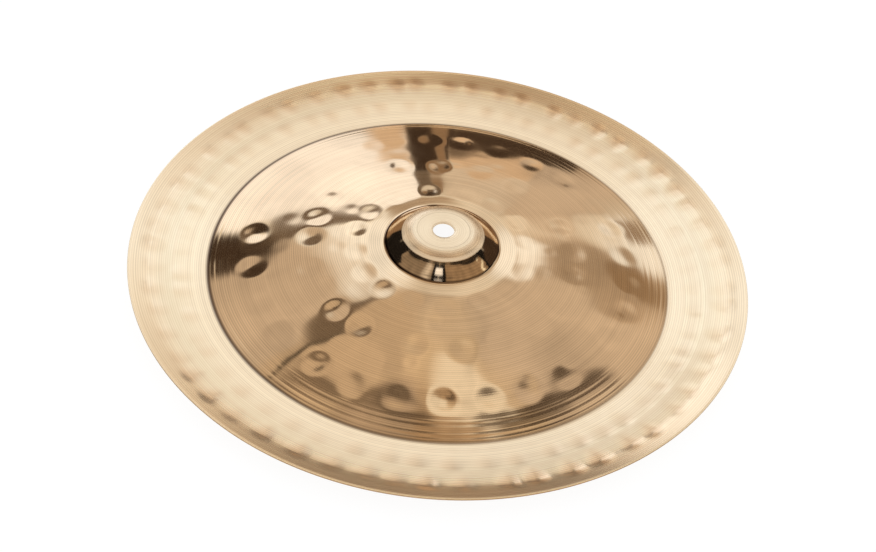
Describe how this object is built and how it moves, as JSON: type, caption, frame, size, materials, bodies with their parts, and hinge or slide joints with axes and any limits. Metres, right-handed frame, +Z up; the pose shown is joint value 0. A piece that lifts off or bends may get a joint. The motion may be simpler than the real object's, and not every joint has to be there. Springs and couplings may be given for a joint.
{
  "type": "china cymbal",
  "caption": "Round bronze china cymbal with a flat-topped bell, a shallow hammered bow, a creased valley and an upturned flange.",
  "frame": {"origin": "on the axis of the hole, level with the underside of the valley, which the cymbal stands on", "axes": "+Z up along the axis of the hole, out of the top of the bell; the object is round, so +X and +Y are free"},
  "size_m": [0.4064, 0.4064, 0.0321],
  "materials": {
    "bronze": "hammered, lathed in fine concentric grooves and polished bright"
  },
  "bodies": {
    "root": {"cymbal": "bronze"}
  },
  "joints": []
}
